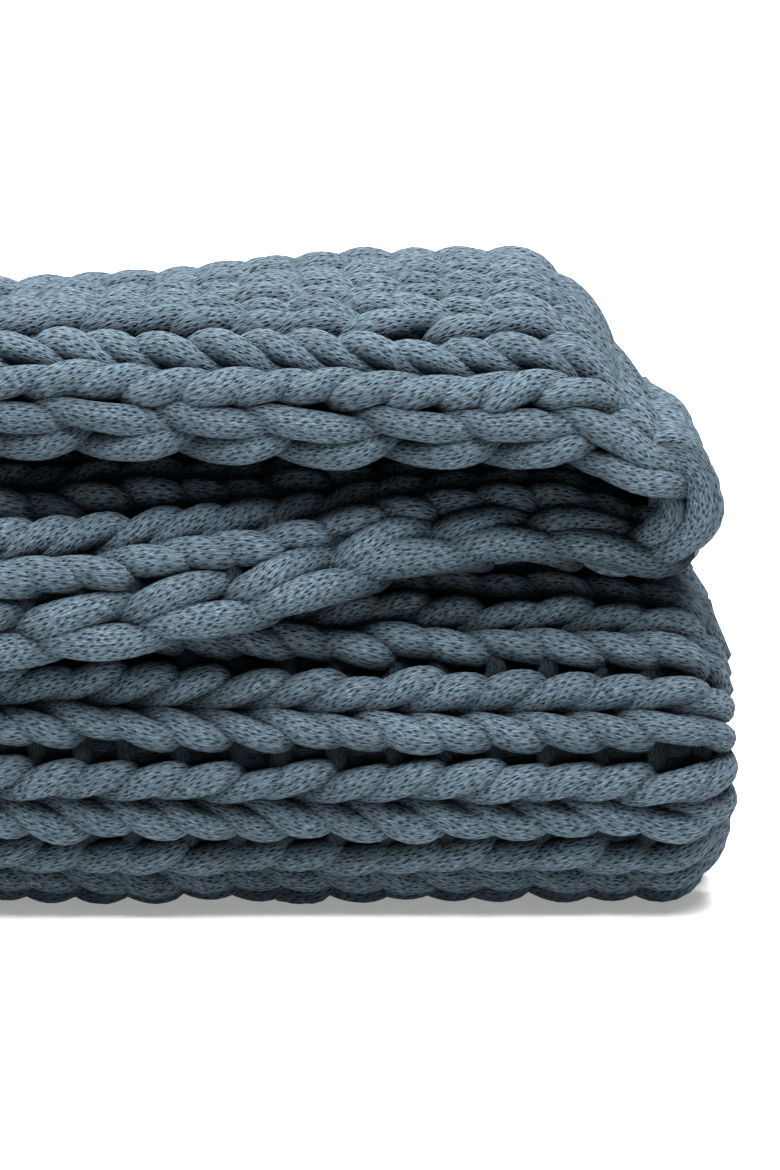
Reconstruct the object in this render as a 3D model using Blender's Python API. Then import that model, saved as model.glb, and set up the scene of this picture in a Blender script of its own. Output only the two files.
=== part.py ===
"""Chunky knit throw, folded in a stack.

The throw is one rib knit piece. It is folded once crosswise, with that fold at the right
end of the stack, and then in three lengthwise, with a front fold at the bottom and a back
fold above it, so that its two long edges lie at the top of the front.

The piece is first made flat, as a ribbed slab, and each of its points is then folded.
"""

import math
from dataclasses import dataclass

import bmesh
import bpy
from mathutils import Vector

# Every size here is in millimetres; the mesh is scaled to metres once, at the end.
TO_METRES = 0.001

# The flat throw
LENGTH = 1524.0
WIDTH = 1016.0
WALES = 41
RIDGE_HEIGHT = 10.5
VALLEY_HEIGHT = 6.5

# The fold: the two layers of one portion lie this far apart, centre to centre
LAYER_PITCH = 26.0
DEPTH_RUN = 273.8
FRONT_RUN = 50.0
EDGE_BEND_START = 7.0

# The soft stack: how far the top bulges, and where from the front and from the right end
BULGE = 45.5
BULGE_FRONT_START = -20.0
BULGE_FRONT_END = 120.0
TOP_FRONT_START = -60.0
TOP_FRONT_END = 20.0
BULGE_BACK_START = 130.0
BULGE_BACK_END = 360.0
BULGE_BACK_LOSS = 0.62
BACK_SAG = 0.05
BACK_SAG_START = 130.0
BACK_SAG_END = 330.0
SHOULDER_START = 12.0
SHOULDER_END = 50.0
LEFT_SAG_START = 560.0
LEFT_SAG_LOSS = 0.5
TAPER_START = 70.0
TAPER_END = 230.0
TAPER_LOSS = 0.40
CREST_START = -10.0
CREST_END = 100.0
FRONT_SWELL = 0.06
WAVE_HEIGHT = 1.6
WAVE_LENGTH = 290.0

# Share of the bulge that each portion takes, in its a layer and in its b layer
BULGE_SHARES = {"bottom": (0.0, 0.14), "middle": (0.36, 0.26), "top": (0.56, 1.0)}

# Places along the length, from the right end, where the slab has points
END_STATIONS = (24.0, 42.0, 62.0, 90.0, 132.0, 190.0, 270.0, 400.0, 570.0, 766.0)
TURN_STEPS = 6

# How far to each side the surface is read for its slope
SLOPE_STEP = 0.5

# The finish
YARN_COLOUR = (0.115, 0.175, 0.235, 1.0)
YARN_ROUGHNESS = 0.95
SHARP_ANGLE = 50.0

# Worked out from the sizes above
HALF_TURN = LAYER_PITCH / 2.0
FOLD_RADIUS = LAYER_PITCH
STRAIGHT = (LENGTH - math.pi * HALF_TURN) / 2.0
TOP_RUN = DEPTH_RUN + EDGE_BEND_START + FRONT_RUN
BOTTOM_RUN = WIDTH - 2 * math.pi * FOLD_RADIUS - DEPTH_RUN - TOP_RUN
FRONT_CENTRE = FOLD_RADIUS + HALF_TURN + RIDGE_HEIGHT
BACK_CENTRE = FRONT_CENTRE + DEPTH_RUN
BOTTOM_HEIGHT = RIDGE_HEIGHT + HALF_TURN


@dataclass(frozen=True)
class EdgeStation:
    """How the two long edges lie at the front of the top, at one place along the stack."""

    from_right: float
    a_reach: float
    a_bend: float
    b_reach: float
    b_bend: float


# One row for each place; reach is in millimetres past the bend's start, bend in degrees
EDGE_STATIONS = (
    EdgeStation(0.0, 28.0, 0.0, 36.0, 2.0),
    EdgeStation(24.0, 28.0, 4.0, 42.0, 16.0),
    EdgeStation(44.0, 29.0, 8.0, 54.0, 56.0),
    EdgeStation(60.0, 30.0, 12.0, 58.0, 76.0),
    EdgeStation(90.0, 38.0, 24.0, 58.0, 78.0),
    EdgeStation(130.0, 55.0, 58.0, 57.0, 78.0),
    EdgeStation(172.0, 65.0, 73.0, 56.0, 78.0),
    EdgeStation(218.0, 71.0, 78.0, 56.0, 78.0),
    EdgeStation(330.0, 76.0, 80.0, 56.0, 78.0),
    EdgeStation(480.0, 70.0, 74.0, 56.0, 76.0),
    EdgeStation(640.0, 54.0, 55.0, 52.0, 64.0),
    EdgeStation(790.0, 44.0, 34.0, 46.0, 50.0),
)


def smooth_step(value: float, start: float, end: float) -> float:
    """Rise smoothly from 0 at start to 1 at end."""
    share = min(1.0, max(0.0, (value - start) / (end - start)))
    return share * share * (3.0 - 2.0 * share)


def blend(first: float, second: float, share: float) -> float:
    """Go straight from the first value to the second."""
    return first + (second - first) * share


def edge_at(from_right: float) -> EdgeStation:
    """Read the edge table at any place along the stack."""
    place = min(max(from_right, EDGE_STATIONS[0].from_right), EDGE_STATIONS[-1].from_right)
    for near, far in zip(EDGE_STATIONS, EDGE_STATIONS[1:]):
        if place <= far.from_right:
            share = (place - near.from_right) / (far.from_right - near.from_right)
            return EdgeStation(
                place,
                blend(near.a_reach, far.a_reach, share),
                blend(near.a_bend, far.a_bend, share),
                blend(near.b_reach, far.b_reach, share),
                blend(near.b_bend, far.b_bend, share),
            )
    return EDGE_STATIONS[-1]


def crosswise_fold(along: float) -> tuple[float, float]:
    """Fold the length in two: give the place from the fold's centre, and the side."""
    if along < STRAIGHT:
        return along - STRAIGHT, -HALF_TURN
    angle = (along - STRAIGHT) / HALF_TURN
    if angle < math.pi:
        return HALF_TURN * math.sin(angle), -HALF_TURN * math.cos(angle)
    return STRAIGHT + math.pi * HALF_TURN - along, HALF_TURN


def fold_radii(side: float) -> tuple[float, float]:
    """Give the radii at which a layer goes round the front fold and the back fold."""
    return FOLD_RADIUS - side, FOLD_RADIUS + side


def in_top_portion(across: float, side: float) -> bool:
    """Tell whether a point lies past the back fold."""
    front_radius, back_radius = fold_radii(side)
    return across > BOTTOM_RUN + math.pi * (front_radius + back_radius) + DEPTH_RUN


def bulge_share(across: float, side: float) -> float:
    """Give the share of the bulge that a point takes, by its portion and its layer."""
    layer = (side + HALF_TURN) / LAYER_PITCH
    bottom, middle, top = (blend(*shares, layer) for shares in BULGE_SHARES.values())
    front_radius, back_radius = fold_radii(side)
    front_fold_end = BOTTOM_RUN + math.pi * front_radius
    back_fold_start = front_fold_end + DEPTH_RUN
    back_fold_end = back_fold_start + math.pi * back_radius
    share = blend(bottom, middle, smooth_step(across, BOTTOM_RUN, front_fold_end))
    return blend(share, top, smooth_step(across, back_fold_start, back_fold_end))


def lengthwise_folds(across: float, side: float, edge: EdgeStation) -> tuple[float, float]:
    """Fold the width in three: give the depth from the front, and the height."""
    front_radius, back_radius = fold_radii(side)
    front_height = BOTTOM_HEIGHT + FOLD_RADIUS
    back_height = front_height + LAYER_PITCH * 2.0
    if across < BOTTOM_RUN:
        return FRONT_CENTRE + BOTTOM_RUN - across, BOTTOM_HEIGHT + side
    across -= BOTTOM_RUN
    if across < math.pi * front_radius:
        angle = across / front_radius
        depth = FRONT_CENTRE - front_radius * math.sin(angle)
        return depth, front_height - front_radius * math.cos(angle)
    across -= math.pi * front_radius
    if across < DEPTH_RUN:
        return FRONT_CENTRE + across, front_height + front_radius
    across -= DEPTH_RUN
    if across < math.pi * back_radius:
        angle = across / back_radius
        depth = BACK_CENTRE + back_radius * math.sin(angle)
        return depth, back_height - back_radius * math.cos(angle)
    return top_run(across - math.pi * back_radius, side, edge, back_height + back_radius)


def top_run(along: float, side: float, edge: EdgeStation, height: float) -> tuple[float, float]:
    """Lay the top portion forward, and bend its edge down over the front fold."""
    layer = (side + HALF_TURN) / LAYER_PITCH
    reach = blend(edge.a_reach, edge.b_reach, layer)
    bend = math.radians(blend(edge.a_bend, edge.b_bend, layer))
    straight = DEPTH_RUN + EDGE_BEND_START
    path = along / TOP_RUN * (straight + reach)
    if path <= straight or bend <= 0.0:
        return BACK_CENTRE - path, height
    curve = bend / reach
    angle = (path - straight) * curve
    return BACK_CENTRE - straight - math.sin(angle) / curve, height - (1.0 - math.cos(angle)) / curve


def middle_point(along: float, across: float) -> Vector:
    """Give the place, in the folded stack, of a point of the flat throw's middle surface."""
    place, side = crosswise_fold(along)
    from_right = HALF_TURN - place
    depth, height = lengthwise_folds(across, side, edge_at(from_right))

    shoulder = smooth_step(from_right, SHOULDER_START, SHOULDER_END)
    taper = smooth_step(from_right, TAPER_START, TAPER_END)
    left_sag = 1.0 - LEFT_SAG_LOSS * smooth_step(from_right, LEFT_SAG_START, STRAIGHT)
    rise = smooth_step(depth, BULGE_FRONT_START, BULGE_FRONT_END)
    if in_top_portion(across, side):
        b_rise = smooth_step(depth, TOP_FRONT_START, TOP_FRONT_END)
        rise = blend(rise, b_rise, (side + HALF_TURN) / LAYER_PITCH)
    fall = 1.0 - BULGE_BACK_LOSS * smooth_step(depth, BULGE_BACK_START, BULGE_BACK_END)
    crest = (1.0 - taper) * smooth_step(depth, CREST_START, CREST_END)
    swell = shoulder * (1.0 - TAPER_LOSS * (1.0 - crest))
    lift = BULGE * swell * left_sag * rise * fall

    above = height - RIDGE_HEIGHT
    wave = WAVE_HEIGHT * math.sin(2.0 * math.pi * from_right / WAVE_LENGTH + above / FRONT_CENTRE)
    resting = smooth_step(above, 0.0, LAYER_PITCH)
    sag = BACK_SAG * smooth_step(depth, BACK_SAG_START, BACK_SAG_END)
    lifted = height + above * (FRONT_SWELL * taper - sag) + lift * bulge_share(across, side)
    return Vector((place, depth + wave * resting, lifted))


def fold_point(along: float, across: float, offset: float) -> Vector:
    """Fold one point of the flat throw, an offset above or below its middle surface."""
    here = middle_point(along, across)
    lengthwise = middle_point(along + SLOPE_STEP, across) - middle_point(along - SLOPE_STEP, across)
    crosswise = middle_point(along, across + SLOPE_STEP) - middle_point(along, across - SLOPE_STEP)
    return here + lengthwise.cross(crosswise).normalized() * offset


def length_stations() -> list[float]:
    """List the slab's points along the length: one layer, the turn, the other layer."""
    first = [STRAIGHT + HALF_TURN - station for station in reversed(END_STATIONS)]
    first[0] = 0.0
    turn = [STRAIGHT + math.pi * HALF_TURN * step / TURN_STEPS for step in range(TURN_STEPS + 1)]
    second = [LENGTH - along for along in reversed(first)]
    return first + turn + second


def width_stations() -> list[float]:
    """List the slab's points across the width: a ridge and a valley for each wale."""
    steps = 2 * WALES
    return [WIDTH * step / steps for step in range(steps + 1)]


def rib_offset(across: float, step: int, outer: bool) -> float:
    """Give the height of a rib's ridge or valley over the middle surface, on one face."""
    on_ridge = (step % 2 == 0) if outer else (step % 2 == 1)
    pressed_flat = outer and across < BOTTOM_RUN
    height = RIDGE_HEIGHT if on_ridge or pressed_flat else VALLEY_HEIGHT
    return height if outer else -height


def flat_slab() -> tuple[bmesh.types.BMesh, dict]:
    """Make the flat throw as a closed slab; note each point's stations and its face."""
    along_steps = len(length_stations()) - 1
    across_steps = 2 * WALES
    slab = bmesh.new()
    bmesh.ops.create_grid(slab, x_segments=along_steps, y_segments=across_steps, size=0.5)
    grid_faces = list(slab.faces)
    inner = {vert: False for vert in slab.verts}
    grown = bmesh.ops.extrude_face_region(slab, geom=grid_faces, use_keep_orig=True)
    outer = {item: True for item in grown["geom"] if isinstance(item, bmesh.types.BMVert)}
    stations = {}
    for vert, is_outer in {**inner, **outer}.items():
        column = round((vert.co.x + 0.5) * along_steps)
        row = round((vert.co.y + 0.5) * across_steps)
        stations[vert] = (column, row, is_outer)
    return slab, stations


def fold_slab(slab: bmesh.types.BMesh, stations: dict) -> None:
    """Move the slab's points to their places in the folded stack."""
    along_places = length_stations()
    across_places = width_stations()
    for vert, (column, row, is_outer) in stations.items():
        across = across_places[row]
        offset = rib_offset(across, row, is_outer)
        vert.co = fold_point(along_places[column], across, offset)


def stand_at_origin(slab: bmesh.types.BMesh) -> None:
    """Put the middle of the underside at the origin, and go from millimetres to metres."""
    lows = [min(vert.co[axis] for vert in slab.verts) for axis in range(3)]
    highs = [max(vert.co[axis] for vert in slab.verts) for axis in range(3)]
    base = Vector(((lows[0] + highs[0]) / 2.0, (lows[1] + highs[1]) / 2.0, lows[2]))
    for vert in slab.verts:
        vert.co = (vert.co - base) * TO_METRES


def yarn_material() -> bpy.types.Material:
    """Make the matt, slate blue yarn."""
    material = bpy.data.materials.new("slate_blue_yarn")
    material.use_nodes = True
    shader = material.node_tree.nodes["Principled BSDF"]
    shader.inputs["Base Color"].default_value = YARN_COLOUR
    shader.inputs["Roughness"].default_value = YARN_ROUGHNESS
    shader.inputs["Metallic"].default_value = 0.0
    return material


def knit_throw() -> bpy.types.Object:
    """Make the folded throw as one closed body."""
    slab, stations = flat_slab()
    fold_slab(slab, stations)
    stand_at_origin(slab)
    bmesh.ops.triangulate(slab, faces=slab.faces)
    bmesh.ops.recalc_face_normals(slab, faces=slab.faces)
    mesh = bpy.data.meshes.new("knit_throw")
    slab.to_mesh(mesh)
    slab.free()
    mesh.shade_smooth()
    mesh.set_sharp_from_angle(angle=math.radians(SHARP_ANGLE))
    mesh.materials.append(yarn_material())
    throw = bpy.data.objects.new("knit_throw", mesh)
    bpy.context.scene.collection.objects.link(throw)
    return throw


def main() -> None:
    """Empty the scene and make the throw."""
    for old in list(bpy.data.objects):
        bpy.data.objects.remove(old, do_unlink=True)
    knit_throw()


if __name__ == "__main__":
    main()
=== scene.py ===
"""Chunky knit throw, folded in a stack: its yarn, stitches, finish and studio.

The throw is one panel of 1x1 rib, knitted from a thick yarn that is itself a fine knitted
tube. Every stitch here is a loop of that yarn, laid out on the flat throw first and then
carried through the same folds as the solid that stands for it.
"""

import logging
import math
from dataclasses import dataclass
from enum import Enum

import bmesh
import bpy
import numpy as np
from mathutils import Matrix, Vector

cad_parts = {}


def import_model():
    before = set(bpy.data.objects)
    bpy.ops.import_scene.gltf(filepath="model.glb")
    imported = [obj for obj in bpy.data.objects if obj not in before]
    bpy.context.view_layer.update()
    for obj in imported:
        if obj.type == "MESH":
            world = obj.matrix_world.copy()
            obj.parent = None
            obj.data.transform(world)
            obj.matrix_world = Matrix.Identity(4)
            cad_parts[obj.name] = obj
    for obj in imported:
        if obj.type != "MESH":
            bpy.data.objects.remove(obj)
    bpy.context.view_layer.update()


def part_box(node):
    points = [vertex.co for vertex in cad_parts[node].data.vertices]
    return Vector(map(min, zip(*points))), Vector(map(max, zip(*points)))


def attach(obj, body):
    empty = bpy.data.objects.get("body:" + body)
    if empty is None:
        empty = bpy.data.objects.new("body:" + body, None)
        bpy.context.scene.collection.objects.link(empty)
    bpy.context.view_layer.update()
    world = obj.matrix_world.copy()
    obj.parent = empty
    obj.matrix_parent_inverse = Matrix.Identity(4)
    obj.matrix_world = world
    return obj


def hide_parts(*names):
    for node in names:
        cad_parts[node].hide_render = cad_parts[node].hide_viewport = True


LOG = logging.getLogger("knit_throw")

NODE = "knit_throw"
BODY = "root"

# The fold and the stitches are worked out in millimetres, the meshes are in metres
TO_METRES = 0.001

# Seed for the small unevenness that hand knitting has
KNITTER = 5


class Side(Enum):
    """The two faces of the flat throw: the outer one and the inner one of the fold."""

    OUTER = 1
    INNER = -1


class Detail(Enum):
    """How finely a stitch is made: steps along its yarn, and sides around it."""

    NEAR = (40, 12)
    NEAR_BACK = (18, 7)
    FAR = (13, 6)
    FAR_BACK = (8, 5)


@dataclass(frozen=True)
class EdgeRow:
    """How the two long edges lie at the front of the top, at one place along the stack.

    The reach is in millimetres past the place where the bend starts, the bend in degrees.
    """

    from_right: float
    a_reach: float
    a_bend: float
    b_reach: float
    b_bend: float


EDGE_ROWS = (
    EdgeRow(0.0, 28.0, 0.0, 36.0, 2.0),
    EdgeRow(24.0, 28.0, 4.0, 42.0, 16.0),
    EdgeRow(44.0, 29.0, 8.0, 50.0, 56.0),
    EdgeRow(60.0, 30.0, 12.0, 50.0, 74.0),
    EdgeRow(90.0, 38.0, 24.0, 49.0, 76.0),
    EdgeRow(130.0, 55.0, 58.0, 49.0, 76.0),
    EdgeRow(172.0, 65.0, 73.0, 50.0, 77.0),
    EdgeRow(218.0, 73.0, 79.0, 51.0, 78.0),
    EdgeRow(330.0, 79.0, 81.0, 53.0, 78.0),
    EdgeRow(480.0, 70.0, 74.0, 53.0, 76.0),
    EdgeRow(640.0, 54.0, 55.0, 51.0, 64.0),
    EdgeRow(790.0, 44.0, 34.0, 46.0, 50.0),
)


def smooth_step(value: np.ndarray, start: float, end: float) -> np.ndarray:
    """Rise smoothly from 0 at start to 1 at end."""
    share = np.clip((value - start) / (end - start), 0.0, 1.0)
    return share * share * (3.0 - 2.0 * share)


def unit(vectors: np.ndarray) -> np.ndarray:
    """Scale each vector to length 1."""
    return vectors / np.linalg.norm(vectors, axis=-1, keepdims=True)


@dataclass(frozen=True)
class Fold:
    """The folded stack's shape, in millimetres.

    It takes a place on the flat throw, along the ribs and across them, to its place in the
    stack. The a layer is the half of the length before the crosswise fold, the b layer the
    half after it.
    """

    length: float = 1524.0
    width: float = 1016.0
    ridge: float = 10.5
    layer_pitch: float = 26.0
    depth_run: float = 273.8
    front_run: float = 50.0
    edge_bend_start: float = 7.0
    bulge: float = 45.5
    bulge_front: tuple[float, float] = (-20.0, 120.0)
    top_front: tuple[float, float] = (-60.0, 20.0)
    bulge_back: tuple[float, float] = (130.0, 360.0)
    bulge_back_loss: float = 0.62
    back_sag: float = 0.085
    back_sag_run: tuple[float, float] = (130.0, 330.0)
    shoulder: tuple[float, float] = (8.0, 50.0)
    left_sag_start: float = 560.0
    left_sag_loss: float = 0.5
    taper: tuple[float, float] = (70.0, 230.0)
    taper_loss: float = 0.40
    crest: tuple[float, float] = (-10.0, 100.0)
    front_swell: float = 0.06
    end_push: float = 4.0
    end_push_run: tuple[float, float] = (0.0, 100.0)
    end_push_heights: tuple[float, float] = (80.0, 102.0)
    wave_height: float = 1.6
    wave_length: float = 290.0
    bottom_shares: tuple[float, float] = (0.0, 0.14)
    middle_shares: tuple[float, float] = (0.36, 0.26)
    top_shares: tuple[float, float] = (0.56, 1.0)
    slope_step: float = 0.5
    least_bend: float = 0.001
    back_reach: float = 374.09

    @property
    def half_turn(self) -> float:
        """Radius of the crosswise fold, at the middle of the cloth."""
        return self.layer_pitch / 2.0

    @property
    def straight(self) -> float:
        """Length of one layer, up to the crosswise fold."""
        return (self.length - math.pi * self.half_turn) / 2.0

    @property
    def top_run(self) -> float:
        """Width of the top portion."""
        return self.depth_run + self.edge_bend_start + self.front_run

    @property
    def bottom_run(self) -> float:
        """Width of the bottom portion."""
        folds = math.tau * self.layer_pitch
        return self.width - folds - self.depth_run - self.top_run

    @property
    def front_centre(self) -> float:
        """Depth of the front fold's centre, from the front of the roll."""
        return self.layer_pitch + self.half_turn + self.ridge

    @property
    def back_centre(self) -> float:
        """Depth of the back fold's centre, from the front of the roll."""
        return self.front_centre + self.depth_run

    def front_wrap(self, side: np.ndarray) -> np.ndarray:
        """Give the radius that sets how much cloth goes round the front fold.

        The ribs run level round the right end of the roll, and shift only behind it.
        """
        hidden = smooth_step(side, 0.0, self.half_turn)
        return self.layer_pitch + self.half_turn * (1.0 - 2.0 * hidden)

    def fold_ends(self, side: np.ndarray) -> tuple[np.ndarray, np.ndarray, np.ndarray]:
        """Find the folds across the flat throw, at each side of the layers' middle.

        Args:
            side: Distance of each layer from the middle of its pair.

        Returns:
            Where the front fold ends, and where the back fold starts and ends.
        """
        front_end = self.bottom_run + math.pi * self.front_wrap(side)
        back_start = self.bottom_run + math.pi * (self.layer_pitch - side) + self.depth_run
        return front_end, back_start, back_start + math.pi * (self.layer_pitch + side)

    def crosswise(self, along: np.ndarray) -> tuple[np.ndarray, np.ndarray]:
        """Fold the length in two.

        Args:
            along: Places along the ribs.

        Returns:
            The places from the fold's centre, to the right, and the side of each.
        """
        angle = np.clip((along - self.straight) / self.half_turn, 0.0, math.pi)
        before = np.minimum(along - self.straight, 0.0)
        after = np.minimum(self.straight + math.pi * self.half_turn - along, 0.0)
        place = before + after + self.half_turn * np.sin(angle)
        return place, -self.half_turn * np.cos(angle)

    def lengthwise(
        self, across: np.ndarray, side: np.ndarray, from_right: np.ndarray
    ) -> tuple[np.ndarray, np.ndarray]:
        """Fold the width in three.

        Args:
            across: Places across the ribs.
            side: Distance of each layer from the middle of its pair.
            from_right: Distance from the right end of the stack.

        Returns:
            The depths from the front of the roll, and the heights.
        """
        front_radius, back_radius = self.layer_pitch - side, self.layer_pitch + side
        front_end, back_start, back_end = self.fold_ends(side)
        bottom = self.ridge + self.half_turn
        front_height = bottom + self.layer_pitch
        back_height = front_height + 2.0 * self.layer_pitch
        front_angle = np.clip((across - self.bottom_run) / self.front_wrap(side), 0.0, math.pi)
        middle_share = (across - front_end) / (back_start - front_end)
        back_angle = np.clip((across - back_start) / back_radius, 0.0, math.pi)
        top_depth, top_height = self.top_edge(
            across - back_end, side, from_right, back_height + back_radius
        )
        places = [
            across < self.bottom_run,
            across < front_end,
            across < back_start,
            across < back_end,
        ]
        depth = np.select(
            places,
            [
                self.front_centre + self.bottom_run - across,
                self.front_centre - front_radius * np.sin(front_angle),
                self.front_centre + middle_share * self.depth_run,
                self.back_centre + back_radius * np.sin(back_angle),
            ],
            top_depth,
        )
        height = np.select(
            places,
            [
                bottom + side,
                front_height - front_radius * np.cos(front_angle),
                front_height + front_radius,
                back_height - back_radius * np.cos(back_angle),
            ],
            top_height,
        )
        return depth, height

    def top_edge(
        self, run: np.ndarray, side: np.ndarray, from_right: np.ndarray, height: np.ndarray
    ) -> tuple[np.ndarray, np.ndarray]:
        """Lay the top portion forward, and bend its edge down over the front fold.

        Args:
            run: Places across the ribs, past the back fold.
            side: Distance of each layer from the middle of its pair.
            from_right: Distance from the right end of the stack.
            height: Height of each layer before its edge bends.

        Returns:
            The depths and heights of the top portion.
        """
        stations = [row.from_right for row in EDGE_ROWS]
        layer = (side + self.half_turn) / self.layer_pitch

        def at_station(name: str) -> np.ndarray:
            """Give each point its value, between the two edges' at its place."""
            a_edge, b_edge = (
                np.interp(from_right, stations, [getattr(row, edge + name) for row in EDGE_ROWS])
                for edge in ("a_", "b_")
            )
            return a_edge + (b_edge - a_edge) * layer

        reach, bend = at_station("reach"), at_station("bend")
        flat_run = self.depth_run + self.edge_bend_start
        path = run / self.top_run * (flat_run + reach)
        past = np.maximum(path - flat_run, 0.0)
        curve = np.maximum(np.radians(bend), self.least_bend) / reach
        depth = self.back_centre - np.minimum(path, flat_run) - np.sin(past * curve) / curve
        return depth, height - (1.0 - np.cos(past * curve)) / curve

    def bulge_share(self, across: np.ndarray, side: np.ndarray) -> np.ndarray:
        """Give the share of the bulge that each point takes, by its portion and layer."""
        layer = (side + self.half_turn) / self.layer_pitch
        bottom, middle, top = (
            low + (high - low) * layer
            for low, high in (self.bottom_shares, self.middle_shares, self.top_shares)
        )
        front_end, back_start, back_end = self.fold_ends(side)
        to_middle = smooth_step(across, self.bottom_run, front_end)
        to_top = smooth_step(across, back_start, back_end)
        share = bottom + (middle - bottom) * to_middle
        return share + (top - share) * to_top

    def middle(self, along: np.ndarray, across: np.ndarray) -> np.ndarray:
        """Give the places, in the stack, of points of the flat throw's middle surface."""
        place, side = self.crosswise(along)
        from_right = self.half_turn - place
        depth, height = self.lengthwise(across, side, from_right)
        tapered = smooth_step(from_right, *self.taper)
        lift = self.bulge * smooth_step(from_right, *self.shoulder)
        crest = (1.0 - tapered) * smooth_step(depth, *self.crest)
        lift = lift * (1.0 - self.taper_loss * (1.0 - crest))
        lift = lift * (
            1.0 - self.left_sag_loss * smooth_step(from_right, self.left_sag_start, self.straight)
        )
        in_top = across > self.fold_ends(side)[2]
        layer = np.where(in_top, (side + self.half_turn) / self.layer_pitch, 0.0)
        rise = smooth_step(depth, *self.bulge_front)
        lift = lift * (rise + (smooth_step(depth, *self.top_front) - rise) * layer)
        lift = lift * (1.0 - self.bulge_back_loss * smooth_step(depth, *self.bulge_back))
        above = height - self.ridge
        phase = math.tau * from_right / self.wave_length + above / self.front_centre
        wave = self.wave_height * np.sin(phase) * smooth_step(above, 0.0, self.layer_pitch)
        sag = self.back_sag * smooth_step(depth, *self.back_sag_run)
        lifted = height + above * (self.front_swell * tapered - sag)
        lifted = lifted + lift * self.bulge_share(across, side)
        pushed = 1.0 - smooth_step(from_right, *self.end_push_run)
        pushed = pushed * (1.0 - smooth_step(height, *self.end_push_heights))
        return np.stack((place + self.end_push * pushed, depth + wave, lifted), axis=-1)

    def directions(self, along: np.ndarray, across: np.ndarray) -> np.ndarray:
        """Give the cloth's own three directions at each place, along, across and outward."""
        step = self.slope_step
        lengthwise = unit(self.middle(along + step, across) - self.middle(along - step, across))
        crosswise = unit(self.middle(along, across + step) - self.middle(along, across - step))
        return np.stack((lengthwise, crosswise, unit(np.cross(lengthwise, crosswise))), axis=-2)

    def point(self, along: np.ndarray, across: np.ndarray, rise: np.ndarray) -> np.ndarray:
        """Fold points of the flat throw, each at its rise over the middle surface."""
        outward = self.directions(along, across)[..., 2, :]
        return self.middle(along, across) + outward * rise[..., None]

    def from_right(self, along: np.ndarray) -> np.ndarray:
        """Give the distance of each place from the right end of the stack."""
        return self.half_turn - self.crosswise(along)[0]

    def to_frame(self, points: np.ndarray) -> np.ndarray:
        """Move points from the stack's own place to the frame, and to metres."""
        low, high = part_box(NODE)
        origin = np.array(
            (
                self.half_turn + self.ridge - high.x / TO_METRES,
                self.back_reach - high.y / TO_METRES,
                -low.z / TO_METRES,
            )
        )
        return (points - origin) * TO_METRES


@dataclass(frozen=True)
class PathRow:
    """One place that the yarn of half a stitch passes.

    The place is in courses along the rib, in ribs across it, and in millimetres above the
    middle of the cloth; the radius is the yarn's own.
    """

    along: float
    across: float
    rise: float
    radius: float


# From between two ribs, up through the stitch before it, along the leg and round its head
RIB_PATH = (
    PathRow(-0.45, 0.215, 0.0, 3.2),
    PathRow(-0.37, 0.120, 0.1, 3.2),
    PathRow(-0.05, 0.085, 0.6, 3.4),
    PathRow(0.35, 0.125, 3.4, 4.2),
    PathRow(0.75, 0.195, 5.6, 4.8),
    PathRow(1.12, 0.260, 6.2, 4.9),
    PathRow(1.45, 0.290, 4.9, 4.4),
    PathRow(1.68, 0.240, 0.0, 3.7),
    PathRow(1.75, 0.000, -1.6, 3.4),
)

# The edge stitch is twice as long; across is here a share of the cloth's thickness
CHAIN_PATH = (
    PathRow(-0.24, 0.03, -9.0, 3.2),
    PathRow(0.00, 0.06, -5.0, 4.0),
    PathRow(0.24, 0.13, -1.2, 5.2),
    PathRow(0.52, 0.21, 0.4, 5.8),
    PathRow(0.82, 0.27, 0.0, 5.4),
    PathRow(1.08, 0.31, -2.2, 4.6),
    PathRow(1.28, 0.28, -5.6, 3.9),
    PathRow(1.40, 0.14, -8.6, 3.5),
    PathRow(1.43, 0.00, -9.4, 3.5),
)
CHAIN_THICKEST = max(row.radius for row in CHAIN_PATH)


def smooth_path(rows: tuple[PathRow, ...], scale: tuple[float, float], steps: int) -> np.ndarray:
    """Draw one smooth line through a stitch's places, there and back.

    Args:
        rows: Half of the stitch, from its foot to the middle of its head.
        scale: Millimetres for one course along, and for one rib across.
        steps: Number of steps along the whole line.

    Returns:
        One row for each step: millimetres along, across and up, and the radius.
    """
    half = np.array([(r.along * scale[0], r.across * scale[1], r.rise, r.radius) for r in rows])
    back = half[-2::-1] * (1.0, -1.0, 1.0, 1.0)
    knots = np.concatenate((half, back))
    spans = np.linalg.norm(np.diff(knots[:, :3], axis=0), axis=1)
    reached = np.concatenate(((0.0,), np.cumsum(spans)))
    slopes = np.gradient(knots, reached, axis=0)
    wanted = np.linspace(0.0, reached[-1], steps + 1)
    index = np.clip(np.searchsorted(reached, wanted, side="right") - 1, 0, len(spans) - 1)
    span = spans[index][:, None]
    share = ((wanted - reached[index]) / spans[index])[:, None]
    start, end = knots[index], knots[index + 1]
    leave, arrive = slopes[index] * span, slopes[index + 1] * span
    square, cube = share**2, share**3
    line = start * (2.0 * cube - 3.0 * square + 1.0) + leave * (cube - 2.0 * square + share)
    return line + end * (3.0 * square - 2.0 * cube) + arrive * (cube - square)


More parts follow.
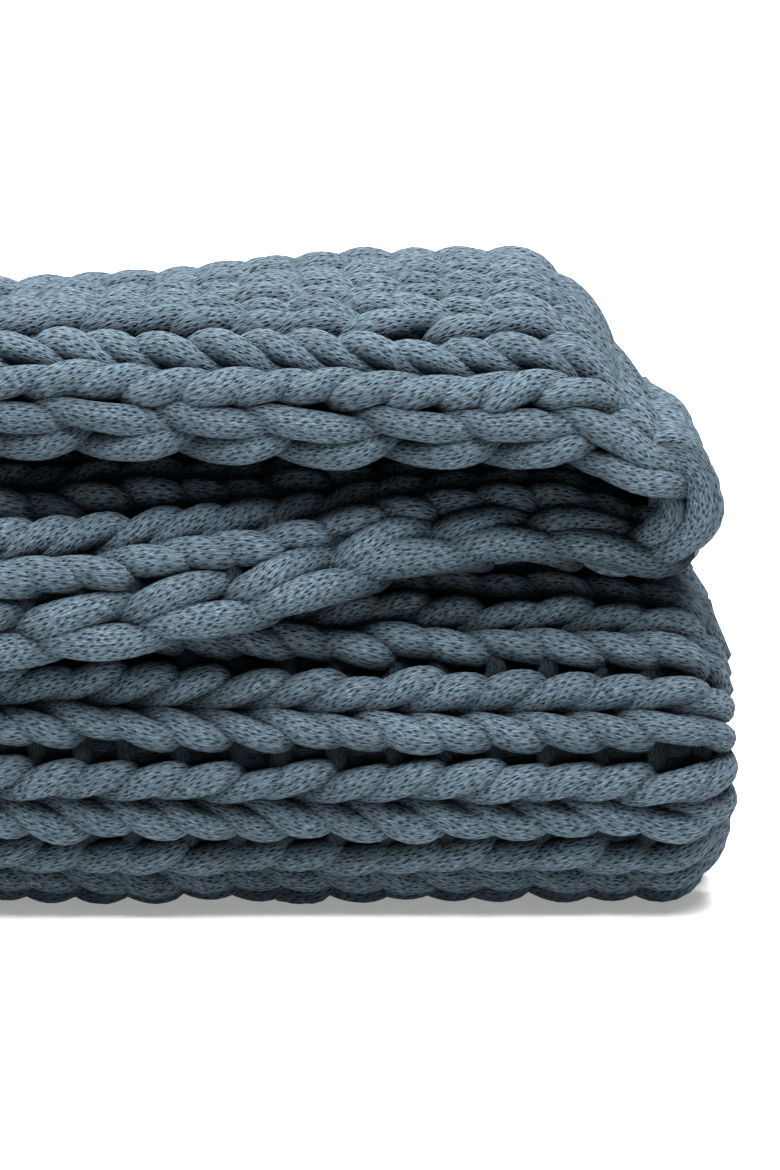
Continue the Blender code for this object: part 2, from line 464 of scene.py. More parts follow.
@dataclass(frozen=True)
class Tube:
    """A straight closed tube, one step long for each step of a stitch.

    It is modelled once for each detail and then bent into every stitch of that detail.
    """

    ring: np.ndarray
    turn: np.ndarray
    corners: np.ndarray
    corner_marks: np.ndarray
    face_sizes: np.ndarray

    @classmethod
    def model(cls, steps: int, sides: int) -> "Tube":
        """Model the tube with a circle that is extruded step by step.

        Args:
            steps: Number of steps along the tube.
            sides: Number of sides around it.

        Returns:
            The tube's points and faces.
        """
        mesh = bmesh.new()
        bmesh.ops.create_circle(mesh, cap_ends=True, segments=sides, radius=1.0)
        rim = list(mesh.edges)
        for _ in range(steps):
            grown = bmesh.ops.extrude_edge_only(mesh, edges=rim)["geom"]
            points = [item for item in grown if isinstance(item, bmesh.types.BMVert)]
            bmesh.ops.translate(mesh, verts=points, vec=(0.0, 0.0, 1.0))
            rim = [
                item
                for item in grown
                if isinstance(item, bmesh.types.BMEdge)
                and all(vert in points for vert in item.verts)
            ]
        bmesh.ops.contextual_create(mesh, geom=rim)
        bmesh.ops.recalc_face_normals(mesh, faces=mesh.faces)
        mesh.verts.index_update()
        ring = np.array([round(vert.co.z) for vert in mesh.verts])
        turn = np.array([math.atan2(vert.co.y, vert.co.x) / math.tau % 1.0 for vert in mesh.verts])
        corners, marks, face_sizes = [], [], []
        for face in mesh.faces:
            centre = face.calc_center_median()
            middle = math.atan2(centre.y, centre.x) / math.tau % 1.0
            for corner in face.loops:
                corners.append(corner.vert.index)
                own = turn[corner.vert.index]
                wrapped = own + round(middle - own)
                marks.append((ring[corner.vert.index], wrapped))
            face_sizes.append(len(face.loops))
        mesh.free()
        return cls(ring, turn, np.array(corners), np.array(marks), np.array(face_sizes))


@dataclass(frozen=True)
class Stitches:
    """A set of stitches of one kind: the lines of their yarn on the flat throw.

    Each array has a row for each stitch and a column for each step of its yarn. The crest is
    the height that the line has in its own stitch, from which the yarn's material paints shade
    where the yarn dives, and the facing says which way the stitch shows: how far along the
    cloth, across it and out of it.
    """

    along: np.ndarray
    across: np.ndarray
    rise: np.ndarray
    radius: np.ndarray
    crest: np.ndarray
    facing: np.ndarray

    def where(self, keep: np.ndarray) -> "Stitches":
        """Keep the stitches that a mask names."""
        return Stitches(*(values[keep] for values in vars(self).values()))


@dataclass(frozen=True)
class KnittedTubeYarn:
    """Knitted-tube yarn: a soft acrylic and cotton cord, knitted fine and filled.

    To the eye it is matt and slightly fuzzy, with rows of small dark stitch holes along it and
    pale slanting fibres, in fine chevrons, that catch the light.
    """

    name: str = "knitted_tube_yarn"
    shade: str = "#151b20"
    body: str = "#404c55"
    light: str = "#6b7983"
    # Millimetres: the yarn's girth, and its stitches, drawn a little coarse so that they show
    girth: float = 31.0
    stitch_length: float = 2.8
    stitches_round: float = 20.0
    # Shares of a small stitch: how wide its hole is, and how far it strays from the row
    hole_size: float = 0.36
    hole_scatter: float = 0.6
    hole_light: float = 0.05
    # Millimetres: the pale fibres, in bundles that are wide enough to show
    fibre_length: float = 4.5
    fibre_width: float = 0.5
    fibre_slant: float = 0.3
    fibre_stagger: float = 3.0
    fibre_detail: float = 3.0
    fibre_softness: float = 0.6
    fibre_shades: tuple[float, float] = (0.42, 0.66)
    fibre_relief: float = 0.9
    # Millimetres: the slow change of shade that dyed yarn has
    mottle_size: float = 28.0
    mottle_detail: float = 2.0
    mottle_reach: tuple[float, float] = (0.3, 0.7)
    mottle_shades: tuple[float, float] = (0.88, 1.08)
    # Painted shade: millimetres over the foot of a stitch, between which the yarn's colour rises from
    # its darkest share to full, so that it is darker where it dives between stitches
    painted_shade_heights: tuple[float, float] = (0.5, 10.0)
    painted_shade_darkest: float = 0.22
    bump_depth: float = 0.0008
    roughness: float = 0.92
    specular: float = 0.25
    sheen: float = 0.2
    sheen_roughness: float = 0.5


@dataclass(frozen=True)
class PaintedShadeFinish:
    """A dark sheet deep between the stitches, matt and darker than the yarn: its colour is painted
    shade.

    To the eye it is the dark blue shade that shows behind the stitches.
    """

    name: str = "painted_shade_between_stitches"
    colour: str = "#10161c"
    roughness: float = 0.95


@dataclass(frozen=True)
class Paper:
    """White studio paper: plain, matt, with only a soft shadow.

    It glows with painted light, a little under the throw and fully some way off, so it is white all
    round.
    """

    name: str = "studio_paper"
    colour: str = "#e6e6e5"
    roughness: float = 0.9
    glow: tuple[float, float] = (0.35, 1.3)
    glow_reach: tuple[float, float] = (0.8, 4.0)


def linear(hex_colour: str) -> tuple[float, float, float, float]:
    """Turn an sRGB hex value into the linear colour that a node takes."""
    parts = [int(hex_colour[place : place + 2], 16) / 255.0 for place in (1, 3, 5)]
    curve = [p / 12.92 if p <= 0.04045 else ((p + 0.055) / 1.055) ** 2.4 for p in parts]
    return (*curve, 1.0)


def feed(material: bpy.types.Material, node: bpy.types.Node, inputs: dict | tuple) -> None:
    """Set or link what goes into a node.

    Args:
        material: The material that the node belongs to.
        node: The node.
        inputs: What goes in, in the order of the inputs or by name: a value, an output to
            link, or a node whose first output is linked.
    """
    for name, value in inputs.items() if isinstance(inputs, dict) else enumerate(inputs):
        if isinstance(value, bpy.types.Node):
            value = value.outputs[0]
        if isinstance(value, bpy.types.NodeSocket):
            material.node_tree.links.new(value, node.inputs[name])
        else:
            node.inputs[name].default_value = value


def add_node(
    material: bpy.types.Material,
    kind: str,
    settings: dict | None = None,
    inputs: dict | tuple = (),
) -> bpy.types.Node:
    """Add one node, with its settings and what goes into it.

    Args:
        material: The material that the node belongs to.
        kind: Blender's name for the kind of node, after ShaderNode.
        settings: Values of the node's own properties.
        inputs: What goes into it, as feed takes it.

    Returns:
        The new node.
    """
    node = material.node_tree.nodes.new(f"ShaderNode{kind}")
    for name, value in (settings or {}).items():
        setattr(node, name, value)
    feed(material, node, inputs)
    return node


def empty_material(name: str) -> tuple[bpy.types.Material, bpy.types.Node]:
    """Make a material that holds only its shader, and give both."""
    material = bpy.data.materials.new(name)
    material.use_nodes = True
    return material, material.node_tree.nodes["Principled BSDF"]


def yarn_material(finish: KnittedTubeYarn) -> bpy.types.Material:
    """Make the yarn's material, with its small stitches laid out along the yarn.

    Args:
        finish: The yarn's colours and sizes.

    Returns:
        The material.
    """
    material, shader = empty_material(finish.name)
    marks = add_node(material, "UVMap", {"uv_map": "yarn"})
    place = add_node(material, "SeparateXYZ", inputs=(marks,))
    along, around = place.outputs["X"], place.outputs["Y"]
    times, times_plus = {"operation": "MULTIPLY"}, {"operation": "MULTIPLY_ADD"}
    per = {"operation": "DIVIDE"}
    course = add_node(material, "Math", per, (along, finish.stitch_length))
    wale = add_node(material, "Math", times, (around, finish.stitches_round))
    half_wale = add_node(material, "Math", {"operation": "PINGPONG"}, (wale, 0.5))
    staggered = add_node(material, "Math", times_plus, (wale, 0.5, course))
    lattice = add_node(material, "CombineXYZ", inputs=(staggered, wale))
    holes = add_node(
        material,
        "TexVoronoi",
        {"voronoi_dimensions": "2D"},
        {"Vector": lattice, "Scale": 1.0, "Randomness": finish.hole_scatter},
    )
    hole_rise = add_node(
        material,
        "MapRange",
        {"interpolation_type": "SMOOTHSTEP"},
        (holes.outputs["Distance"], 0.0, finish.hole_size, finish.hole_light),
    )
    run = add_node(material, "Math", per, (along, finish.fibre_length))
    fibre_run = add_node(material, "Math", times_plus, (wale, finish.fibre_stagger, run))
    fibres_across = finish.girth / finish.stitches_round / finish.fibre_width
    chevron = add_node(material, "Math", times, (half_wale, fibres_across))
    slant = finish.fibre_slant / finish.fibre_width
    fibre_side = add_node(material, "Math", times_plus, (along, slant, chevron))
    drawn_out = add_node(material, "CombineXYZ", inputs=(fibre_run, fibre_side))
    fibres = add_node(
        material,
        "TexNoise",
        {"noise_dimensions": "2D"},
        {
            "Vector": drawn_out,
            "Scale": 1.0,
            "Detail": finish.fibre_detail,
            "Roughness": finish.fibre_softness,
        },
    )
    fibre_light = add_node(material, "MapRange", inputs=(fibres, *finish.fibre_shades))
    yarn_colour = add_node(
        material,
        "Mix",
        {"data_type": "RGBA"},
        {0: fibre_light, 6: linear(finish.body), 7: linear(finish.light)},
    )
    holed = add_node(
        material,
        "Mix",
        {"data_type": "RGBA"},
        {0: hole_rise, 6: linear(finish.shade), 7: yarn_colour.outputs[2]},
    )
    object_place = add_node(material, "TexCoord")
    mottle = add_node(
        material,
        "TexNoise",
        inputs={
            "Vector": object_place.outputs["Object"],
            "Scale": 1.0 / (finish.mottle_size * TO_METRES),
            "Detail": finish.mottle_detail,
        },
    )
    shades = (*finish.mottle_reach, *finish.mottle_shades)
    mottled = add_node(material, "MapRange", inputs=(mottle, *shades))
    # Painted shade: the yarn is darkened by its height in its stitch, most where it dives between
    # stitches
    crest = add_node(material, "Attribute", {"attribute_name": "crest"})
    painted_shade_reach = (*finish.painted_shade_heights, finish.painted_shade_darkest)
    painted_shade = add_node(material, "MapRange", inputs=(crest.outputs["Fac"], *painted_shade_reach))
    # The yarn's own mottled tone, times the painted shade
    shade = add_node(material, "Math", times, (mottled, painted_shade))
    colour = add_node(
        material,
        "VectorMath",
        {"operation": "SCALE"},
        {0: holed.outputs[2], "Scale": shade},
    )
    relief = add_node(material, "Math", times_plus, (fibres, finish.fibre_relief, hole_rise))
    bump = add_node(
        material,
        "Bump",
        inputs={"Height": relief, "Distance": finish.bump_depth, "Strength": 1.0},
    )
    surface = {
        "Base Color": colour,
        "Normal": bump,
        "Roughness": finish.roughness,
        "Specular IOR Level": finish.specular,
        "Specular Tint": linear(finish.light),
        "Sheen Weight": finish.sheen,
        "Sheen Tint": linear(finish.light),
        "Sheen Roughness": finish.sheen_roughness,
    }
    feed(material, shader, surface)
    return material


def plain_material(finish: PaintedShadeFinish | Paper) -> bpy.types.Material:
    """Make a matt material of one colour."""
    material, shader = empty_material(finish.name)
    surface = {"Base Color": linear(finish.colour), "Roughness": finish.roughness}
    feed(material, shader, surface)
    return material


def paper_material(finish: Paper) -> bpy.types.Material:
    """Make the paper's material, which glows with painted light, more with the distance from the throw.
    """
    material = plain_material(finish)
    shader = material.node_tree.nodes["Principled BSDF"]
    place = add_node(material, "TexCoord").outputs["Object"]
    away = add_node(material, "VectorMath", {"operation": "LENGTH"}, (place,))
    glow = add_node(
        material,
        "MapRange",
        {"interpolation_type": "SMOOTHSTEP"},
        (away.outputs["Value"], *finish.glow_reach, *finish.glow),
    )
    feed(material, shader, {"Emission Color": linear(finish.colour), "Emission Strength": glow})
    return material


def put_in_scene(name: str, data: bpy.types.ID) -> bpy.types.Object:
    """Make an object of a mesh, a lamp or a camera, and put it in the scene."""
    thing = bpy.data.objects.new(name, data)
    bpy.context.scene.collection.objects.link(thing)
    return thing


@dataclass
class Knitting:
    """The throw's stitches, as loops of yarn in the folded stack.

    Sizes are in millimetres, turns in degrees. Chain turns and spreads are for the a and the b
    layer, edge shifts for the outer and the inner face.
    """

    fold: Fold
    material: bpy.types.Material
    ribs: int = 41
    courses: int = 98
    spare_courses: float = 1.25
    margin: float = 3.0
    # The chains along the edges; they start so many stitches in, on the top edge and elsewhere
    chain_turns: tuple[float, float] = (-62.0, 48.0)
    chain_twist_run: float = 60.0
    chain_inset: float = 4.0
    chain_inset_a: float = 3.5
    chain_skew: float = 0.9
    chain_spreads: tuple[float, float] = (0.84, 0.80)
    chain_size_b: float = 0.86
    # How far the chains' height is raised for the painted shade, so that they are darkened less
    chain_shade_lift: float = 5.0
    chain_starts: tuple[float, float] = (1.0, 0.4)
    edge_shifts: tuple[float, float] = (1.5, 8.0)
    edge_shift_run: tuple[float, float] = (30.0, 130.0)
    # The matted top is fuller, and gets less painted shade between its stitches
    top_fullness: float = 0.08
    top_shade_lift: float = 2.5
    # How far round the stack each part is seen, and made
    near_end: float = 250.0
    seen_top: float = 205.0
    seen_front: float = 36.0
    seen_second: float = 125.0
    past_turn: float = 26.0
    edge_strip: float = 45.0
    turn_strip: float = 30.0
    # Unevenness by hand: of a rib stitch, of a chain stitch, and of the yarn's own thickness
    loose: float = 0.65
    uneven_along: float = 2.0
    uneven_spread: float = 0.12
    uneven_across: float = 1.2
    uneven_rise: float = 1.0
    uneven_radius: float = 0.07
    uneven_chain: tuple[float, float, float] = (0.8, 0.5, 0.4)
    lumps: float = 0.05
    lump_sides: float = 2.0
    lump_turns: float = 3.0
    pattern_shift: tuple[float, float] = (40.0, 1.0)

    def __post_init__(self) -> None:
        """Work out the stitch sizes, and start the seeded unevenness."""
        self.course = self.fold.length / (self.courses + self.spare_courses)
        self.rib = (self.fold.width - 2.0 * self.margin) / self.ribs
        self.chance = np.random.default_rng(KNITTER)
        self.tubes = {detail: Tube.model(*detail.value) for detail in Detail}

    def rib_stitches(self, side: Side, detail: Detail) -> Stitches:
        """Lay out every rib stitch of one face on the flat throw.

        Args:
            side: The face that the stitches stand on.
            detail: How finely they are made.

        Returns:
            The stitches.
        """
        steps = detail.value[0]
        line = smooth_path(RIB_PATH, (self.course, self.rib), steps)
        # The inner face's ribs lie half a rib aside, between the outer face's
        first = 1.0 if side is Side.OUTER else 1.5
        last = self.ribs - 0.5 if side is Side.OUTER else self.ribs - 1.0
        centres = self.margin + np.arange(first, last) * self.rib
        starts = (np.arange(self.courses) - RIB_PATH[0].along) * self.course
        start, centre = (grid.reshape(-1, 1) for grid in np.meshgrid(starts, centres))
        ease = np.sin(np.linspace(0.0, math.pi, steps + 1)) ** 0.5

        def uneven(size: float) -> np.ndarray:
            """Draw one small shift for each stitch, with none at its two ends."""
            return self.chance.normal(0.0, size * self.loose, start.shape) * ease

        along = start + line[:, 0] + uneven(self.uneven_along)
        on_top = centre > self.fold.fold_ends(self.fold.crosswise(start)[1])[2]
        full = 1.0 + self.top_fullness * on_top
        across = centre + line[:, 1] * full * (1.0 + uneven(self.uneven_spread))
        across = across + uneven(self.uneven_across)
        across = across + self.towards_edge(across, side)
        rise = side.value * (line[:, 2] + uneven(self.uneven_rise))
        radius = line[:, 3] * full * (1.0 + uneven(self.uneven_radius))
        # Height in the stitch for the painted shade, raised on the top so that it is darkened less
        crest = line[:, 2] + self.top_shade_lift * on_top
        facing = np.broadcast_to((0.0, 0.0, side.value), (*along.shape, 3))
        return Stitches(along, across, rise, radius, crest, facing)

    def towards_edge(self, across: np.ndarray, side: Side) -> np.ndarray:
        """Give the shift that closes one face's ribs up to the chains at the long edges."""
        to_top = 1.0 - smooth_step(self.fold.width - across, *self.edge_shift_run)
        to_bottom = 1.0 - smooth_step(across, *self.edge_shift_run)
        shift = self.edge_shifts[0] if side is Side.OUTER else self.edge_shifts[1]
        return shift * (to_top - to_bottom)

    def outside(self, stitches: Stitches) -> dict[str, np.ndarray]:
        """Sort stitches by the part of the stack that they show on.

        Args:
            stitches: Stitches of one face.

        Returns:
            For each part's name, a mask of its stitches.
        """
        fold = self.fold
        middle = stitches.along.shape[1] // 2
        along = stitches.along[:, middle]
        across = stitches.across.mean(axis=1)
        from_right = fold.from_right(along)
        a_layer = along < fold.length / 2.0
        round_end = np.abs(along - fold.length / 2.0) < self.past_turn
        turn = from_right < self.turn_strip
        left = from_right > fold.straight - self.edge_strip
        front_end, back_start, back_end = fold.fold_ends(fold.crosswise(along)[1])
        front_end = front_end + self.seen_front
        top = (~a_layer | round_end) & (across > back_end)
        back = ~a_layer & (across > back_start - self.edge_strip) & ~top
        front = a_layer | round_end
        front = front & (across > fold.bottom_run - self.rib) & (across < front_end)
        under = a_layer & (across <= fold.bottom_run - self.rib)
        second = a_layer & ~round_end & (across > fold.width - self.seen_second)
        shown = top | back | front | under | second
        ends = (turn | left | (across < self.edge_strip)) & ~shown
        near = from_right < self.near_end
        return {
            "top_near": top & near & (across > fold.width - self.seen_top),
            "top_far": top & ~(near & (across > fold.width - self.seen_top)),
            "back": back,
            "front_near": front & near,
            "front_far": front & ~near,
            "under": under,
            "second_near": second & near,
            "second_far": second & ~near,
            "ends": ends,
        }

    def tube_mesh(self, stitches: Stitches, tube: Tube) -> tuple[np.ndarray, ...]:
        """Bend the straight tube into each stitch, in the folded stack.

        Args:
            stitches: The yarn's lines on the flat throw.
            tube: The straight tube of the same detail.

        Returns:
            The points, the corners' point numbers, their places on the yarn, the faces'
            sizes, and the points' heights in their stitches, from which the yarn's material paints
            shade.
        """
        centre = self.fold.point(stitches.along, stitches.across, stitches.rise)
        directions = self.fold.directions(stitches.along, stitches.across)
        face = unit(np.einsum("ijk,ijkl->ijl", stitches.facing, directions))
        heading = unit(np.gradient(centre, axis=1))
        beside = unit(np.cross(heading, face))
        above = np.cross(heading, beside)
        spans = np.linalg.norm(np.diff(centre, axis=1), axis=-1)
        reached = np.concatenate((np.zeros((len(centre), 1)), np.cumsum(spans, axis=1)), axis=1)
        angle = tube.turn * math.tau
        phase = self.chance.random((len(centre), 1)) * math.tau
        wound = tube.ring / tube.ring.max() * self.lump_turns * math.tau
        lump = np.sin(self.lump_sides * angle + wound + phase)
        reach = (stitches.radius[:, tube.ring] * (1.0 + self.lumps * lump))[..., None]
        outward = (
            beside[:, tube.ring] * np.cos(angle)[:, None] + above[:, tube.ring] * np.sin(angle)[:, None]
        )
        points = centre[:, tube.ring] + outward * reach
        # Each point's height in its stitch, from which the yarn's material paints shade
        over = np.einsum("ijk,ijk->ij", outward, face[:, tube.ring])
        crest = stitches.crest[:, tube.ring] + over * reach[..., 0]
        count = len(centre)
        starts = np.arange(count)[:, None] * len(tube.ring)
        corners = (starts + tube.corners).reshape(-1)
        rings = tube.corner_marks[:, 0].astype(int)
        shift = self.chance.random((count, 2)) * self.pattern_shift
        marks = np.stack(
            (
                reached[:, rings] + shift[:, :1],
                np.broadcast_to(tube.corner_marks[:, 1], (count, len(rings))) + shift[:, 1:],
            ),
            axis=-1,
        )
        sizes = np.tile(tube.face_sizes, count)
        return points.reshape(-1, 3), corners, marks.reshape(-1, 2), sizes, crest.reshape(-1)

    def piece(self, name: str, parts: list[tuple[Stitches, Detail]]) -> bpy.types.Object:
        """Join stitches into one piece.

        Args:
            name: The piece's name.
            parts: Sets of stitches, each with its detail.

        Returns:
            The piece.
        """
        made = [self.tube_mesh(stitches, self.tubes[detail]) for stitches, detail in parts]
        firsts = np.cumsum([0] + [len(points) for points, *_ in made[:-1]])
        points = self.fold.to_frame(np.concatenate([part[0] for part in made]))
        points[:, 2] = np.maximum(points[:, 2], 0.0)
        corners = np.concatenate([part[1] + first for part, first in zip(made, firsts)])
        marks = np.concatenate([part[2] for part in made])
        sizes = np.concatenate([part[3] for part in made])
        mesh = bpy.data.meshes.new(name)
        mesh.vertices.add(len(points))
        mesh.vertices.foreach_set("co", points.astype(np.float32).ravel())
        mesh.loops.add(len(corners))
        mesh.loops.foreach_set("vertex_index", corners.astype(np.int32))
        mesh.polygons.add(len(sizes))
        starts = np.concatenate(((0,), np.cumsum(sizes)[:-1]))
        mesh.polygons.foreach_set("loop_start", starts.astype(np.int32))
        mesh.update(calc_edges=True)
        layer = mesh.uv_layers.new(name="yarn")
        layer.uv.foreach_set("vector", marks.astype(np.float32).ravel())
        # The points' heights in their stitches, from which the yarn's material paints shade
        crest = np.concatenate([part[4] for part in made]).astype(np.float32)
        mesh.attributes.new("crest", "FLOAT", "POINT").data.foreach_set("value", crest)
        mesh.validate()
        mesh.shade_smooth()
        mesh.materials.append(self.material)
        triangles = int((sizes - 2).sum())
        LOG.info("%s: %d stitches, %d triangles", name, sum(len(s.along) for s, _ in parts), triangles)
        return put_in_scene(name, mesh)

    def chain_line(
        self, length: float, pitch: float, first: float, detail: Detail
    ) -> tuple[np.ndarray, ...]:
        """Lay out a chain of edge stitches along a straight edge.

        Args:
            length: The edge's length in millimetres.
            pitch: Millimetres from one stitch to the next.
            first: How many stitches in from the corner the chain starts.
            detail: How finely they are made.

        Returns:
            Millimetres along the edge, outward, through the cloth, and the radius.
        """
        thickness = 2.0 * self.fold.ridge
        line = smooth_path(CHAIN_PATH, (pitch, thickness), detail.value[0])
        count = int(length / pitch - CHAIN_PATH[-1].along - first)
        start = ((first + np.arange(count)) * pitch)[:, None]
        ease = np.sin(np.linspace(0.0, math.pi, len(line))) ** 0.5
        along, outward, through = (
            line[:, column] + self.chance.normal(0.0, size, start.shape) * ease
            for column, size in zip((0, 2, 1), self.uneven_chain)
        )
        along = start + along
        radius = np.broadcast_to(line[:, 3], along.shape)
        return along, outward, through, radius

    def long_edge(self, detail: Detail, top: bool) -> Stitches:
        """Make the chain along one long edge.

        Args:
            detail: How finely it is made.
            top: True for the edge at the top of the stack, False for the one below.

        Returns:
            The chain's stitches.
        """
        first = self.chain_starts[0] if top else self.chain_starts[1]
        along, outward, through, radius = self.chain_line(
            self.fold.length, 2.0 * self.course, first, detail
        )
        middle = self.fold.length / 2.0
        turned = smooth_step(along, middle - self.chain_twist_run, middle + self.chain_twist_run)
        turn_a, turn_b = self.chain_turns
        turn = np.radians(turn_a + (turn_b - turn_a) * turned)
        along = along + through * self.chain_skew
        spread_a, spread_b = self.chain_spreads
        through = through * (spread_a + (spread_b - spread_a) * turned)
        radius = radius * (1.0 + (self.chain_size_b - 1.0) * turned)
        inset = CHAIN_THICKEST + self.chain_inset * np.abs(np.sin(turn))
        inset = inset + self.chain_inset_a * (1.0 - turned)
        beyond = outward * np.cos(turn) - through * np.sin(turn) - inset
        rise = outward * np.sin(turn) + through * np.cos(turn)
        across = self.fold.width + beyond if top else -beyond
        # Height for the painted shade, raised on the chains
        crest = outward + self.chain_shade_lift
        way = np.cos(turn) if top else -np.cos(turn)
        facing = np.stack((np.zeros(turn.shape), way, np.sin(turn)), axis=-1)
        return Stitches(along, across, rise, radius, crest, facing)

    def short_edge(self, detail: Detail, first: bool) -> Stitches:
        """Make the chain along one short edge.

        Args:
            detail: How finely it is made.
            first: True for the end that the knitting starts from.

        Returns:
            The chain's stitches.
        """
        across, outward, through, radius = self.chain_line(
            self.fold.width, self.rib, self.chain_starts[1], detail
        )
        along = CHAIN_THICKEST - outward
        along = along if first else self.fold.length - along
        # Height for the painted shade, raised on the chains
        crest = outward + self.chain_shade_lift
        facing = np.broadcast_to((-1.0 if first else 1.0, 0.0, 0.0), (*along.shape, 3))
        return Stitches(along, across, through, radius, crest, facing)

    def build(self) -> list[bpy.types.Object]:
        """Make every piece of the knitting, and give them."""
        laid = {}
        for detail in Detail:
            for side in Side:
                stitches = self.rib_stitches(side, detail)
                laid[detail, side] = stitches, self.outside(stitches)
        pieces = []
        for name in laid[Detail.FAR, Side.OUTER][1]:
            # The second layer's edge shows the throw's inner face, every other part the outer
            side = Side.INNER if name.startswith("second") else Side.OUTER
            near = name.endswith("near")
            details = (Detail.NEAR, Detail.NEAR_BACK) if near else (Detail.FAR, Detail.FAR_BACK)
            parts = []
            for face, detail in zip((side, Side(-side.value)), details):
                stitches, masks = laid[detail, face]
                parts.append((stitches.where(masks[name]), detail))
            pieces.append(self.piece(f"{name}_stitches", parts))
        return pieces + self.edges()

    def edges(self) -> list[bpy.types.Object]:
        """Make the chains along the four edges of the throw."""
        top_near = self.long_edge(Detail.NEAR, top=True)
        top_far = self.long_edge(Detail.FAR, top=True)
        shown = self.fold.from_right(top_near.along.mean(axis=1)) < self.near_end
        below = self.long_edge(Detail.FAR, top=False)
        first = self.short_edge(Detail.FAR, first=True)
        last = self.short_edge(Detail.FAR, first=False)
        return [
            self.piece(
                "top_edge_chain",
                [(top_near.where(shown), Detail.NEAR), (top_far.where(~shown), Detail.FAR)],
            ),
            self.piece(
                "other_edge_chains",
                [(below, Detail.FAR), (first, Detail.FAR), (last, Detail.FAR)],
            ),
        ]


@dataclass
class PaintedShadeSheet:
    """A thin dark sheet behind and between the stitches, whose colour is painted shade in the gaps of
    the knitting.
    """

    fold: Fold
    material: bpy.types.Material
    along_steps: int = 100
    across_steps: int = 90
    thickness: float = 2.4
    inset: float = 13.0

    def build(self) -> bpy.types.Object:
        """Make the sheet of painted shade flat, as a grid, and fold it.

        Returns:
            The sheet.
        """
        cloth = bmesh.new()
        bmesh.ops.create_grid(
            cloth, x_segments=self.along_steps, y_segments=self.across_steps, size=0.5
        )
        flat = np.array([vert.co for vert in cloth.verts]) + 0.5
        along = self.inset + flat[:, 0] * (self.fold.length - 2.0 * self.inset)
        across = self.inset + flat[:, 1] * (self.fold.width - 2.0 * self.inset)
        folded = self.fold.to_frame(self.fold.point(along, across, np.zeros(len(flat))))
        for vert, place in zip(cloth.verts, folded):
            vert.co = place
        bmesh.ops.solidify(cloth, geom=cloth.faces, thickness=self.thickness * TO_METRES)
        bmesh.ops.recalc_face_normals(cloth, faces=cloth.faces)
        mesh = bpy.data.meshes.new("painted_shade_sheet")
        cloth.to_mesh(mesh)
        cloth.free()
        mesh.shade_smooth()
        mesh.materials.append(self.material)
        LOG.info("painted_shade_sheet: %d faces", len(mesh.polygons))
        return put_in_scene("painted_shade_sheet", mesh)


@dataclass(frozen=True)
class Softbox:
    """A soft studio light: where it hangs and how wide it is, in metres, and its watts."""

    name: str
    place: tuple[float, float, float]
    size: float
    power: float


SOFTBOXES = (
    Softbox("overhead_softbox", (0.35, -0.62, 1.75), 1.3, 106.0),
    Softbox("front_softbox", (-0.9, -1.9, 1.5), 1.2, 1.0),
    Softbox("backdrop_softbox", (0.0, 2.4, 3.0), 2.4, 160.0),
)


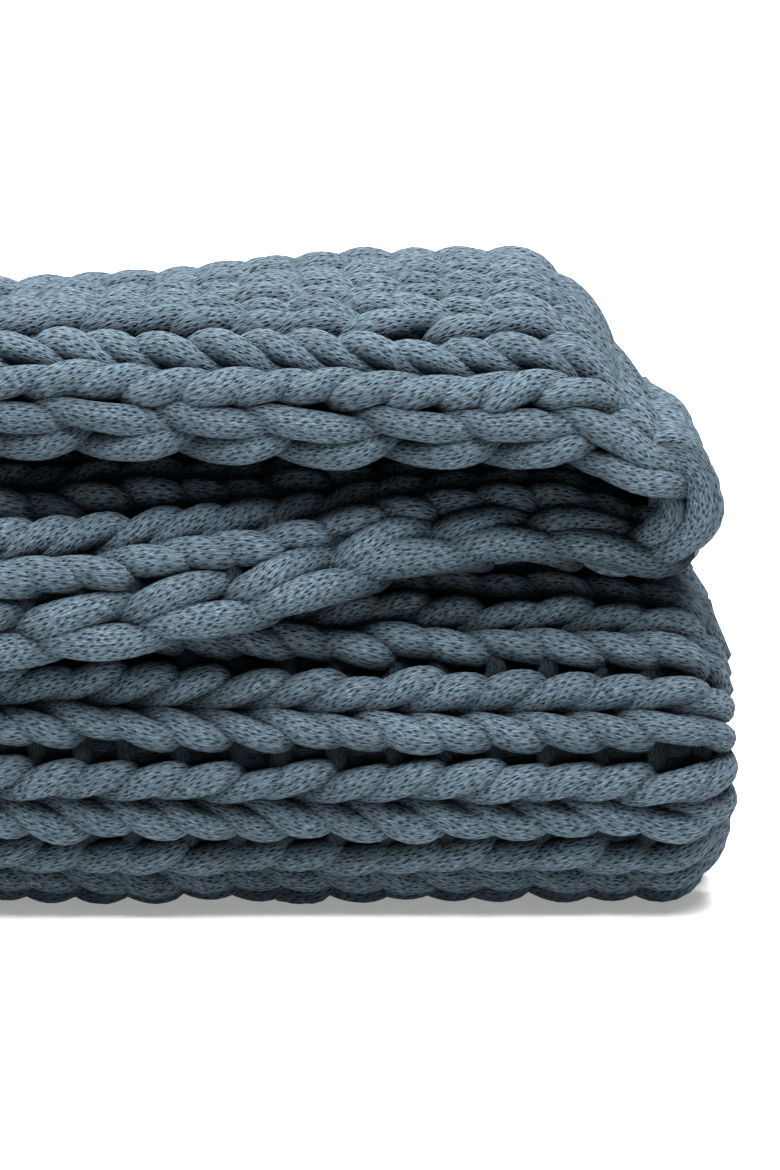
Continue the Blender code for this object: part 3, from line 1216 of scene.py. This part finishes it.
@dataclass
class Studio:
    """The floor, the lights and the camera.

    Sizes of the studio are in metres, places on the throw in millimetres.
    """

    fold: Fold
    paper: bpy.types.Material
    paper_reach: float = 30.0
    camera_distance: float = 1.5
    camera_elevation: float = 8.0
    centre_from_right: float = 101.5
    centre_height: float = 105.7
    photo_height: float = 1170.0
    photo_scale: float = 0.30
    sensor: float = 36.0
    room_light: float = 0.10

    def floor(self) -> None:
        """Make the floor, one wide level sheet of paper that is the background too."""
        sheet = bmesh.new()
        bmesh.ops.create_grid(sheet, x_segments=1, y_segments=1, size=self.paper_reach)
        mesh = bpy.data.meshes.new("paper")
        sheet.to_mesh(mesh)
        sheet.free()
        mesh.materials.append(self.paper)
        put_in_scene("paper", mesh)

    def centre(self) -> Vector:
        """Give the point of the throw's front that the middle of the photograph shows."""
        right = self.fold.half_turn + self.fold.ridge
        place = np.array((right - self.centre_from_right, 0.0, self.centre_height))
        return Vector(self.fold.to_frame(place))

    def light(self, softbox: Softbox) -> None:
        """Hang one softbox, aimed at the throw."""
        lamp = bpy.data.lights.new(softbox.name, "AREA")
        lamp.shape = "SQUARE"
        lamp.size = softbox.size
        lamp.energy = softbox.power
        thing = put_in_scene(softbox.name, lamp)
        thing.location = softbox.place
        aim = self.centre() - Vector(softbox.place)
        thing.rotation_euler = aim.to_track_quat("-Z", "Y").to_euler()

    def camera(self) -> None:
        """Place the camera as the photograph has it."""
        data = bpy.data.cameras.new("camera")
        data.sensor_width = self.sensor
        pixels = self.camera_distance / (self.photo_scale * TO_METRES)
        data.lens = pixels * self.sensor / self.photo_height
        thing = put_in_scene("camera", data)
        tilt = math.radians(self.camera_elevation)
        away = Vector((0.0, -math.cos(tilt), math.sin(tilt)))
        thing.location = self.centre() + away * self.camera_distance
        thing.rotation_euler = (-away).to_track_quat("-Z", "Y").to_euler()
        bpy.context.scene.camera = thing

    def build(self) -> None:
        """Set up the paper, the lights and the camera."""
        self.floor()
        self.camera()
        for softbox in SOFTBOXES:
            self.light(softbox)
        world = bpy.data.worlds.new("studio")
        world.use_nodes = True
        background = world.node_tree.nodes["Background"]
        background.inputs["Color"].default_value = (1.0, 1.0, 1.0, 1.0)
        background.inputs["Strength"].default_value = self.room_light
        bpy.context.scene.world = world
        bpy.context.scene.view_settings.view_transform = "Standard"
        bpy.context.scene.view_settings.look = "Medium High Contrast"


def declare(shade_sheet: bpy.types.Object, knitting: list[bpy.types.Object]) -> None:
    """Say what rides where, and what stands for the solid."""
    for piece in (shade_sheet, *knitting):
        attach(piece, BODY)
        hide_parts(NODE)


def main() -> None:
    """Build the throw's looks and its studio."""
    logging.basicConfig(level=logging.INFO, format="%(name)s: %(message)s")
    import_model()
    fold = Fold()
    yarn = yarn_material(KnittedTubeYarn())
    # A dark sheet behind the stitches, painted shade for the gaps between them
    shade_sheet = PaintedShadeSheet(fold, plain_material(PaintedShadeFinish())).build()
    knitting = Knitting(fold, yarn).build()
    declare(shade_sheet, knitting)
    Studio(fold, paper_material(Paper())).build()


if __name__ == "__main__":
    main()
